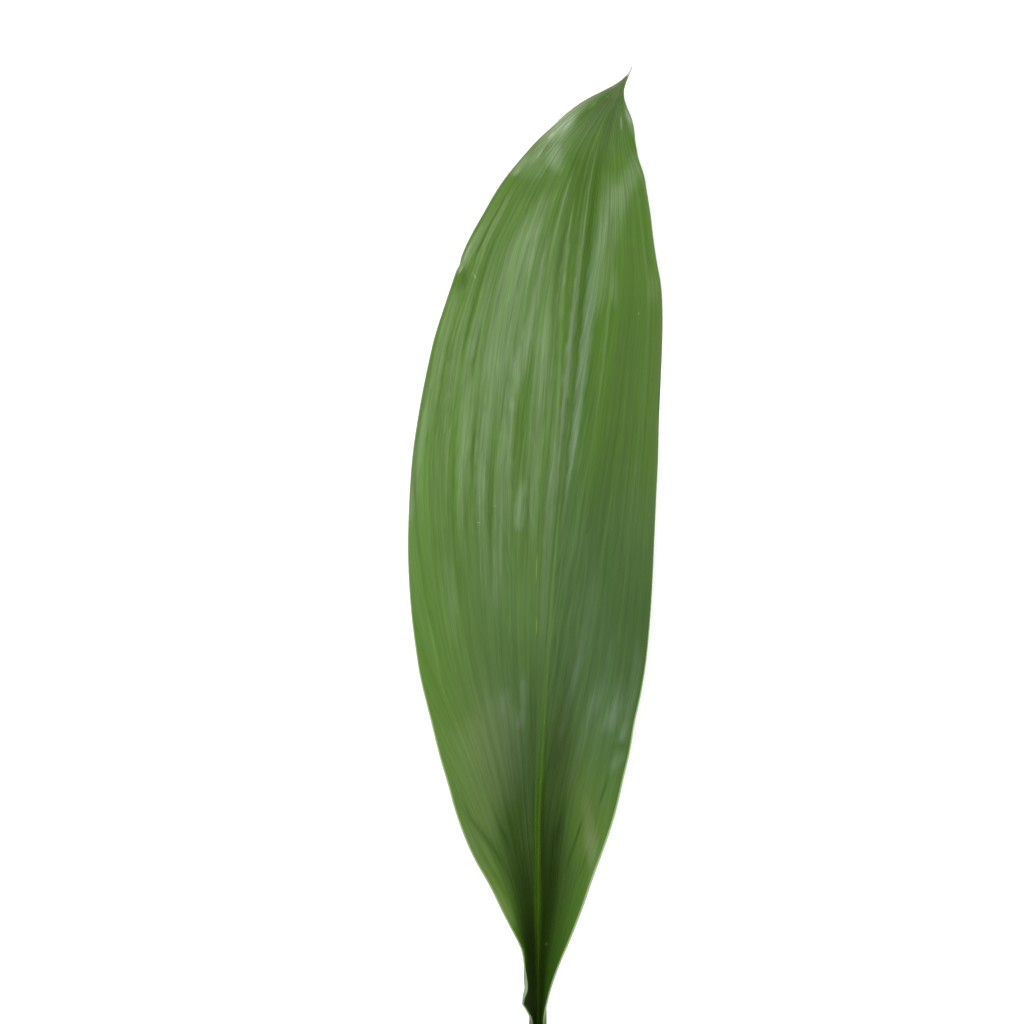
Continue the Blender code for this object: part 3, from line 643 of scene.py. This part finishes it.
# How much of the shade the lighter midrib takes away, and how dull the furrows are
MIDRIB_LIGHTNESS = 0.85
FURROW_DULLNESS = 0.75


def stroked(strokes, station, share, power=SOFT_EDGE, join=np.maximum):
    """Strength of the strokes at each vertex."""
    total = np.zeros_like(share)
    for stroke in strokes:
        stations, shares, widths, strengths = (np.array(sorted(stroke)) / STROKE_UNITS).T
        centre = np.interp(station, stations, shares)
        width = np.interp(station, stations, widths)
        strength = np.interp(station, stations, strengths)
        strength = strength * (station >= stations[0]) * (station <= stations[-1])
        total = join(total, strength * np.exp(-np.abs((share - centre) / width) ** power))
    return total


def together(first, second):
    """Two shares of darkness laid over each other, which never pass 1."""
    return first + second - first * second


def colour_layers(grid):
    """The values along and across the leaf that its materials read."""
    station, share, vein = grid["station"], grid["share"], grid["vein"]
    ragged = share
    for size, waves_along, waves_across, start in RAGGED:
        ragged = ragged + size * np.sin(2 * np.pi * (waves_along * station + waves_across * vein) + start)
    furrows = stroked(FURROWS, station, ragged, FIRM_EDGE)
    left_wall, right_wall = (stroked([wall], station, share, FIRM_EDGE) for wall in CHANNEL_SHADE)
    crossing = np.interp(station, CHANNEL_OPENS, [1.0, 0.0])
    left_wall = left_wall * np.where(share > 0, crossing, 1.0)
    right_wall = right_wall * np.where(share < 0, crossing, 1.0)
    channel = together(left_wall, right_wall)
    midrib = stroked(MIDRIB, station, grid["from_midrib"] * np.sign(share), FIRM_EDGE)
    # Painted shade from the washes, the right half, the folds and the channel, less the painted light
    shade = stroked(PAINTED_SHADE, station, share, SOFT_EDGE, together)
    shade = together(shade, stroked(RIGHT_SHADE, station, share, HARD_EDGE))
    shade = together(shade, stroked(FOLD_SHADE, station, share, SOFT_EDGE, together))
    shade = together(shade, channel) - stroked(PAINTED_LIGHT, station, share)
    dull = together(channel, stroked(DULLER, station, share))
    return {
        "station": station,
        "vein": vein,
        "from_midrib": grid["from_midrib"],
        "from_margin": grid["from_margin"],
        "streaked": grid["streaked"],
        "painted_sheen": stroked(PAINTED_SHEEN, station, ragged, FIRM_EDGE, np.add),
        "pale_lines": stroked(PALE_LINES, station, share),
        "furrows": furrows,
        "shade": shade * (1 - MIDRIB_LIGHTNESS * midrib),
        "dull": together(dull, FURROW_DULLNESS * furrows),
        "warmth": stroked(WARMTH, station, share, SOFT_EDGE, np.add),
        "under_shade": stroked(UNDER_SHADE, station, share),
    }


def model_leaf(grid):
    """The leaf as one closed sheet: a flat grid, extruded to two faces, whose vertices go to their places."""
    bpy.ops.object.select_all(action="DESELECT")
    bpy.ops.mesh.primitive_grid_add(x_subdivisions=2 * HALF_COLUMNS, y_subdivisions=ROWS, size=1.0)
    leaf = bpy.context.object
    leaf.name = leaf.data.name = "fine_leaf"
    mesh = leaf.data
    bpy.ops.object.mode_set(mode="EDIT")
    bpy.ops.mesh.select_all(action="SELECT")
    bpy.ops.mesh.extrude_region_move(TRANSFORM_OT_translate={"value": (0.0, 0.0, 1.0)})
    bpy.ops.mesh.select_all(action="SELECT")
    bpy.ops.mesh.normals_make_consistent(inside=False)
    thin_out_lower_side(mesh)
    bpy.ops.object.mode_set(mode="OBJECT")

    column, row, above = flat_places(mesh)
    placed = np.where(above[:, None], grid["upper"][row, column], grid["lower"][row, column])
    mesh.vertices.foreach_set("co", placed.ravel())

    for name, values in colour_layers(grid).items():
        layer = mesh.attributes.new(name, "FLOAT", "POINT")
        layer.data.foreach_set("value", values[row, column].astype(np.float32))

    kinds = []
    for face in mesh.polygons:
        corners = list(face.vertices)
        if all(row[v] == 0 for v in corners):
            kinds.append(CUT_FACE)
        else:
            kinds.append(UPPER_FACE if all(above[v] for v in corners) else UNDER_FACE)
    mesh.polygons.foreach_set("material_index", kinds)
    mesh.shade_smooth()
    a, b = edge_ends(mesh)
    mesh.edges.foreach_set("use_edge_sharp", (row[a] == 0) & (row[b] == 0) & (above[a] == above[b]))
    mesh.update()
    return leaf


def edge_ends(mesh):
    """The two vertices of each edge."""
    ends = np.empty(len(mesh.edges) * 2, int)
    mesh.edges.foreach_get("vertices", ends)
    return ends.reshape(-1, 2).T


def flat_places(mesh):
    """Column, row and upper side or not of each vertex, while the sheet is still flat."""
    flat = np.empty(len(mesh.vertices) * 3)
    mesh.vertices.foreach_get("co", flat)
    flat = flat.reshape(-1, 3)
    column = np.rint((flat[:, 0] + 0.5) * 2 * HALF_COLUMNS).astype(int)
    row = np.rint((flat[:, 1] + 0.5) * ROWS).astype(int)
    return column, row, flat[:, 2] > 0.5


def thin_out_lower_side(mesh):
    """Leaves every other row and column of the lower side, which needs less detail."""
    bpy.ops.object.mode_set(mode="OBJECT")
    column, row, above = flat_places(mesh)
    a, b = edge_ends(mesh)
    in_row = (row[a] == row[b]) & (row[a] % 2 == 1)
    in_column = (column[a] == column[b]) & (column[a] % 2 == 1)
    chosen = ~above[a] & ~above[b] & (in_row | in_column)
    bpy.ops.object.mode_set(mode="EDIT")
    bpy.ops.mesh.select_mode(type="EDGE")
    bpy.ops.mesh.select_all(action="DESELECT")
    bpy.ops.object.mode_set(mode="OBJECT")
    mesh.edges.foreach_set("select", chosen)
    bpy.ops.object.mode_set(mode="EDIT")
    bpy.ops.mesh.dissolve_edges(use_verts=True)


def socket_into(tree, target, value):
    """Feeds a socket from another one, or sets it where value is a number."""
    if isinstance(value, bpy.types.NodeSocket):
        tree.links.new(value, target)
    else:
        target.default_value = value


def node(tree, kind, settings=None, **inputs):
    """A new node with its settings, and its inputs fed by name, with underscores for spaces."""
    made = tree.nodes.new(kind)
    for name, value in (settings or {}).items():
        setattr(made, name, value)
    for name, value in inputs.items():
        socket_into(tree, made.inputs[name.replace("_", " ")], value)
    return made


def calculated(tree, operation, first, second=0.0, clamp=False):
    """One Math node's output."""
    made = node(tree, "ShaderNodeMath", {"operation": operation, "use_clamp": clamp})
    socket_into(tree, made.inputs[0], first)
    socket_into(tree, made.inputs[1], second)
    return made.outputs[0]


def product(tree, first, second):
    return calculated(tree, "MULTIPLY", first, second)


def added(tree, first, second):
    return calculated(tree, "ADD", first, second)


def clamped(tree, value, more=0.0):
    """value and more added, and held between 0 and 1."""
    return calculated(tree, "ADD", value, more, True)


def weighted(tree, *parts):
    """Sum of (value, weight) pairs."""
    total = 0.0
    for value, weight in parts:
        total = added(tree, product(tree, value, weight), total)
    return total


def ramped(tree, value, low, high, to_low=0.0, to_high=1.0):
    """value from low..high carried smoothly to to_low..to_high."""
    made = node(tree, "ShaderNodeMapRange", {"interpolation_type": "SMOOTHSTEP"}, Value=value, From_Min=low,
                From_Max=high, To_Min=to_low, To_Max=to_high)
    return made.outputs["Result"]


def blended(tree, factor, first, second, blend="MIX"):
    """Two colours mixed by factor. A Mix node's colour sockets are inputs 6 and 7 and output 2."""
    made = node(tree, "ShaderNodeMix", {"data_type": "RGBA", "blend_type": blend})
    socket_into(tree, made.inputs[0], factor)
    socket_into(tree, made.inputs[6], first)
    socket_into(tree, made.inputs[7], second)
    return made.outputs[2]


def vector(tree, x, y, z=0.0):
    return node(tree, "ShaderNodeCombineXYZ", X=x, Y=y, Z=z).outputs[0]


def brightened(tree, base, amount):
    """A colour made lighter where amount is above 0 and darker where it is below."""
    factor = added(tree, amount, 1.0)
    return blended(tree, 1.0, base, vector(tree, factor, factor, factor), "MULTIPLY")


def attribute(tree, name):
    return node(tree, "ShaderNodeAttribute", {"attribute_name": name}).outputs["Fac"]


def object_place(tree):
    return node(tree, "ShaderNodeTexCoord").outputs["Object"]


def new_group(name, inputs, outputs):
    """An empty shader node group with named inputs, as (name, starting value), and outputs."""
    group = bpy.data.node_groups.new(name, "ShaderNodeTree")
    for label, value in inputs:
        made = group.interface.new_socket(name=label, in_out="INPUT", socket_type="NodeSocketFloat")
        made.default_value = value
    for label in outputs:
        group.interface.new_socket(name=label, in_out="OUTPUT", socket_type="NodeSocketFloat")
    return group, group.nodes.new("NodeGroupInput").outputs, group.nodes.new("NodeGroupOutput").inputs


def placed_group(tree, group, outputs, **inputs):
    """The named outputs of a group, placed in a material with its own values."""
    made = node(tree, "ShaderNodeGroup", {"node_tree": group}, **inputs)
    return [made.outputs[name] for name in outputs]


def noise_along(tree, given, count, **settings):
    """The vein number times count, and a noise that is drawn out along the veins."""
    across = product(tree, given["Vein"], given[count])
    run = product(tree, given["Station"], given["Stretch"])
    noise = node(tree, "ShaderNodeTexNoise", {"noise_dimensions": "2D"}, Vector=vector(tree, across, run),
                 **settings)
    return across, noise.outputs["Fac"]


def vein_group():
    """Fine parallel veins. Tone runs round 0 and is lighter above it; Height is their relief from 0 to 1."""
    tree, given, put = new_group(
        "parallel veins",
        [("Vein", 0.0), ("Station", 0.0), ("Veins", 60.0), ("Stretch", 8.0)],
        ["Tone", "Height"],
    )
    across, noise = noise_along(tree, given, "Veins", Scale=0.55, Detail=3.0, Roughness=0.62)
    wave = calculated(tree, "SINE", product(tree, across, 2 * math.pi))
    tree.links.new(product(tree, calculated(tree, "SUBTRACT", noise, 0.5), 2.0), put["Tone"])
    tree.links.new(added(tree, noise, product(tree, wave, 0.22)), put["Height"])
    return tree


def pleat_group():
    """Pleats that run along the veins, each brightening across to a hard edge, and merge in places."""
    tree, given, put = new_group(
        "pleats",
        [("Vein", 0.0), ("Station", 0.0), ("Pleats", 10.0), ("Stretch", 5.5), ("Wander", 6.0)],
        ["Tone"],
    )
    across, noise = noise_along(tree, given, "Pleats", Scale=0.8, Detail=1.5)
    climb = calculated(tree, "FRACT", added(tree, across, product(tree, noise, given["Wander"])))
    climb = product(tree, climb, ramped(tree, climb, 0.80, 1.0, 1.0, 0.0))
    on_left = calculated(tree, "LESS_THAN", given["Vein"], RIGHT_VEINS / 2)
    turned = calculated(tree, "SUBTRACT", product(tree, on_left, 2.0), 1.0)
    tree.links.new(product(tree, calculated(tree, "SUBTRACT", climb, 0.4), turned), put["Tone"])
    return tree


def mark_group():
    """One small soft-edged mark, placed and turned in the leaf's own plane, in metres and radians."""
    tree, given, put = new_group(
        "small mark",
        [("X", 0.0), ("Y", 0.0), ("Half Length", 0.001), ("Half Width", 0.001), ("Turn", 0.0)],
        ["Mask"],
    )
    place = node(tree, "ShaderNodeSeparateXYZ", Vector=object_place(tree))
    right = calculated(tree, "SUBTRACT", place.outputs["X"], given["X"])
    up = calculated(tree, "SUBTRACT", place.outputs["Y"], given["Y"])
    cosine, sine = calculated(tree, "COSINE", given["Turn"]), calculated(tree, "SINE", given["Turn"])
    along_it = added(tree, product(tree, right, cosine), product(tree, up, sine))
    across_it = calculated(tree, "SUBTRACT", product(tree, up, cosine), product(tree, right, sine))
    along_it = calculated(tree, "DIVIDE", along_it, given["Half Length"])
    across_it = calculated(tree, "DIVIDE", across_it, given["Half Width"])
    reach = added(tree, product(tree, along_it, along_it), product(tree, across_it, across_it))
    tree.links.new(ramped(tree, reach, 0.15, 1.6, 1.0, 0.0), put["Mask"])
    return tree


def marked(tree, mark, marks):
    """The masks of several small marks, added up."""
    total = 0.0
    for x, y, half_length, half_width, turn, strength in marks:
        mask, = placed_group(
            tree, mark, ["Mask"], Turn=math.radians(turn),
            X=x / MILLIMETRES - MIDDLE[0], Y=y / MILLIMETRES - MIDDLE[1],
            Half_Length=half_length / MILLIMETRES, Half_Width=half_width / MILLIMETRES)
        total = added(tree, product(tree, mask, strength), total)
    return clamped(tree, total)


def line_group():
    """A line of an even width beside an edge or a middle, from the distance to it in millimetres."""
    tree, given, put = new_group("line", [("Distance", 0.0), ("Width", 1.0), ("Softness", 0.2)], ["Mask"])
    inner = calculated(tree, "SUBTRACT", given["Width"], given["Softness"])
    outer = added(tree, given["Width"], given["Softness"])
    tree.links.new(ramped(tree, given["Distance"], inner, outer, 1.0, 0.0), put["Mask"])
    return tree


def set_values(sockets, **values):
    """Sets sockets by name, with underscores for spaces."""
    for name, value in values.items():
        sockets[name.replace("_", " ")].default_value = value


def new_material(name):
    material = bpy.data.materials.new(name)
    material.use_nodes = True
    return material, material.node_tree, material.node_tree.nodes["Principled BSDF"]


def finish_shader(tree, shader, base, relief, strength, depth):
    """Gives the shader its colour, and a relief of that strength and depth in metres."""
    tree.links.new(base, shader.inputs["Base Color"])
    bump = node(tree, "ShaderNodeBump", Strength=strength, Distance=depth, Height=relief)
    tree.links.new(bump.outputs["Normal"], shader.inputs["Normal"])


def colour(red, green, blue):
    """A colour given as the eye reads it, 0 to 255, as the shader's linear values."""
    def linear(value):
        value /= 255
        return value / 12.92 if value <= 0.04045 else ((value + 0.055) / 1.055) ** 2.4
    return (linear(red), linear(green), linear(blue), 1.0)


BODY_GREEN = colour(67, 101, 24)
# Grey added to the green for the painted sheen
SHEEN_GREY = colour(97, 97, 97)
# Whitish colour of the painted highlights near the tip and of the light specks
GLINT_AND_SPECK_WHITE = colour(150, 164, 140)
YELLOW = colour(100, 128, 52)
BROWN = colour(110, 112, 84)
MARGIN_PALE = colour(136, 155, 114)
DRIED_STRAW = colour(176, 172, 170)
UNDER_GREEN = colour(76, 100, 50)
UNDER_KEEL = colour(92, 118, 62)
STALK_GREEN = colour(50, 72, 26)
CUT_CREAM = colour(160, 170, 112)
CUT_RIM = colour(80, 86, 36)
# Stations between which the left margin turns brown, the pale line of the margins gets finer, and the tip
# turns dry, above and below
BROWN_MARGIN = (0.84, 0.90)
FINER_MARGIN = (0.30, 0.50)
DRIED_TIP = (1.000, 1.005)
DRIED_TIP_BELOW = (0.996, 1.003)
MARGIN_SOFTNESS = 0.25
# The gloss of the skin, and what the painted sheen, the painted highlights and specks and the dull places add
# to it
GLOSS = 0.24
SHEEN_GLOSS = 0.4
GLINT_AND_SPECK_GLOSS = 0.4
DULL_GLOSS = -0.24


def upper_side(veins, pleats, line, mark):
    """Deep green with veins, pleats, furrows and small marks, painted sheen, shade and highlights, a fine
    pale margin and a dried tip.
    """
    material, tree, shader = new_material("leaf upper side")
    station, vein, streaked = attribute(tree, "station"), attribute(tree, "vein"), attribute(tree, "streaked")
    tone, height = placed_group(tree, veins, ["Tone", "Height"], Vein=vein, Station=station)
    pleat, = placed_group(tree, pleats, ["Tone"], Vein=vein, Station=station)
    small_pleat, = placed_group(tree, pleats, ["Tone"], Vein=vein, Station=station, Pleats=25.0, Stretch=9.0,
                                Wander=4.0)
    tone, pleat, small_pleat = (product(tree, streak, streaked) for streak in (tone, pleat, small_pleat))
    cloud = node(tree, "ShaderNodeTexNoise", Vector=object_place(tree), Scale=28.0, Detail=2.0).outputs["Fac"]
    cloud = calculated(tree, "SUBTRACT", cloud, 0.5)

    pale, furrow = attribute(tree, "pale_lines"), attribute(tree, "furrows")
    grain = weighted(tree, (tone, 0.42), (pleat, 0.10), (small_pleat, 0.20), (cloud, 0.12), (pale, 0.22),
                     (furrow, -0.13))
    base = brightened(tree, BODY_GREEN, grain)
    # The painted shade and the dark marks darken the green
    shade = weighted(tree, (attribute(tree, "shade"), -1.0), (marked(tree, mark, DARK_MARKS), -0.4))
    base = brightened(tree, base, shade)
    uneven = weighted(tree, (tone, 0.8), (pleat, 0.35), (small_pleat, 0.35), (cloud, 0.5))
    # Painted sheen: grey added to the green where the skin reflects the light, with more gloss there
    painted_sheen = product(tree, attribute(tree, "painted_sheen"), added(tree, uneven, 1.0))
    painted_sheen = weighted(tree, (painted_sheen, 0.5), (pale, 0.08))
    base = blended(tree, clamped(tree, painted_sheen), base, SHEEN_GREY, "ADD")
    redder = added(tree, product(tree, attribute(tree, "warmth"), 0.14), 1.0)
    base = blended(tree, 1.0, base, vector(tree, redder, 1.0, 1.0), "MULTIPLY")

    # Painted highlights near the tip, and light specks and scratches further down
    glints_and_specks = product(tree, marked(tree, mark, GLINT_AND_SPECK_MARKS), ramped(tree, tone, -0.3, 0.25, 0.25, 1.0))
    base = blended(tree, glints_and_specks, base, GLINT_AND_SPECK_WHITE)
    base = blended(tree, marked(tree, mark, YELLOW_MARKS), base, YELLOW)
    base = blended(tree, marked(tree, mark, BROWN_MARKS), base, BROWN)
    on_left = ramped(tree, vein, RIGHT_VEINS / 2, RIGHT_VEINS / 2 + 1, 1.0, 0.0)
    browned = product(tree, ramped(tree, station, *BROWN_MARGIN), on_left)
    width = weighted(tree, (ramped(tree, station, *FINER_MARGIN, 0.60, 0.35), 1.0), (browned, 0.15))
    margin, = placed_group(tree, line, ["Mask"], Distance=attribute(tree, "from_margin"), Width=width,
                           Softness=MARGIN_SOFTNESS)
    seen = weighted(tree, (ramped(tree, station, *FINER_MARGIN, 0.9, 0.5), 1.0), (browned, 0.35))
    rim = blended(tree, browned, MARGIN_PALE, BROWN)
    base = blended(tree, product(tree, margin, seen), base, rim)
    base = blended(tree, ramped(tree, station, *DRIED_TIP), base, DRIED_STRAW)

    relief = added(tree, height, product(tree, pleat, 0.8))
    finish_shader(tree, shader, base, relief, 0.6, 0.0001)
    set_values(shader.inputs, Roughness=0.45, Specular_IOR_Level=0.08, Coat_Roughness=0.30)
    gloss = weighted(tree, (painted_sheen, SHEEN_GLOSS), (glints_and_specks, GLINT_AND_SPECK_GLOSS), (attribute(tree, "dull"), DULL_GLOSS))
    tree.links.new(clamped(tree, gloss, GLOSS), shader.inputs["Coat Weight"])
    return material


def under_side(veins, line):
    """Paler and duller than the upper side, with a lighter keel, the stalk's deeper green and painted shade
    under the ruffle.
    """
    material, tree, shader = new_material("leaf underside")
    station, vein = attribute(tree, "station"), attribute(tree, "vein")
    tone, height = placed_group(tree, veins, ["Tone", "Height"], Vein=vein, Station=station)
    keel = ramped(tree, attribute(tree, "from_midrib"), 1.0, 3.5, 1.0, 0.0)
    base = blended(tree, keel, UNDER_GREEN, UNDER_KEEL)
    base = blended(tree, ramped(tree, station, 0.08, -0.02), base, STALK_GREEN)
    base = brightened(tree, base, weighted(tree, (tone, 0.2), (attribute(tree, "under_shade"), -1.0)))
    margin, = placed_group(tree, line, ["Mask"], Distance=attribute(tree, "from_margin"), Width=0.3,
                           Softness=MARGIN_SOFTNESS)
    margin = product(tree, margin, ramped(tree, station, -0.01, 0.02, 0.0, 0.75))
    base = blended(tree, margin, base, MARGIN_PALE)
    base = blended(tree, ramped(tree, station, *DRIED_TIP_BELOW), base, DRIED_STRAW)
    finish_shader(tree, shader, base, height, 0.8, 0.00012)
    tree.links.new(added(tree, product(tree, tone, 0.08), 0.55), shader.inputs["Roughness"])
    return material


def cut_face():
    """Cream, with the ends of the fibres in it."""
    material, tree, shader = new_material("stalk cut face")
    cells = node(tree, "ShaderNodeTexVoronoi", {"feature": "F1"}, Vector=object_place(tree), Scale=2600.0)
    fibres = ramped(tree, cells.outputs["Distance"], 0.1, 0.5)
    base = blended(tree, fibres, CUT_CREAM, CUT_RIM)
    finish_shader(tree, shader, base, cells.outputs["Distance"], 0.5, 0.0001)
    set_values(shader.inputs, Roughness=0.7)
    return material


# Camera: straight above the leaf, so that the stalk runs out of the picture at its lower edge
CAMERA_PLACE = (-0.0110, 0.09508, 1.556)
CAMERA_LENS = 120.0


def set_camera():
    data = bpy.data.cameras.new("camera")
    data.lens = CAMERA_LENS
    data.sensor_width = 36.0
    camera = bpy.data.objects.new("camera", data)
    camera.location = CAMERA_PLACE
    bpy.context.scene.collection.objects.link(camera)
    bpy.context.scene.camera = camera


def add_light(name, place, target, size, power):
    data = bpy.data.lights.new(name, "AREA")
    data.shape = "SQUARE"
    data.size = size
    data.energy = power
    light = bpy.data.objects.new(name, data)
    light.location = place
    light.rotation_euler = (Vector(target) - Vector(place)).to_track_quat("-Z", "Y").to_euler()
    bpy.context.scene.collection.objects.link(light)


def set_studio():
    """A near white floor, one large soft light from the upper left and even light from all round."""
    bpy.ops.object.select_all(action="DESELECT")
    bpy.ops.mesh.primitive_plane_add(size=6.0)
    floor = bpy.context.object
    floor.name = "floor"
    material, _, shader = new_material("pale floor")
    set_values(shader.inputs, Base_Color=(0.96, 0.96, 0.96, 1.0), Roughness=0.9, Specular_IOR_Level=0.1,
               Emission_Color=(1.0, 1.0, 1.0, 1.0), Emission_Strength=0.2)
    floor.data.materials.append(material)
    add_light("upper left light", (-1.1, 0.95, 1.35), target=(0.0, 0.1, 0.0), size=1.7, power=20.0)
    world = bpy.data.worlds.new("studio")
    world.use_nodes = True
    set_values(world.node_tree.nodes["Background"].inputs, Color=(1.0, 1.0, 1.0, 1.0), Strength=1.3)
    bpy.context.scene.world = world
    bpy.context.scene.view_settings.view_transform = "Standard"


set_camera()
set_studio()
leaf = model_leaf(leaf_grid())
vein_effect, pleat_effect, line_effect, mark_effect = vein_group(), pleat_group(), line_group(), mark_group()
leaf.data.materials.append(upper_side(vein_effect, pleat_effect, line_effect, mark_effect))
leaf.data.materials.append(under_side(vein_effect, line_effect))
leaf.data.materials.append(cut_face())
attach(leaf, "root")
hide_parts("leaf")
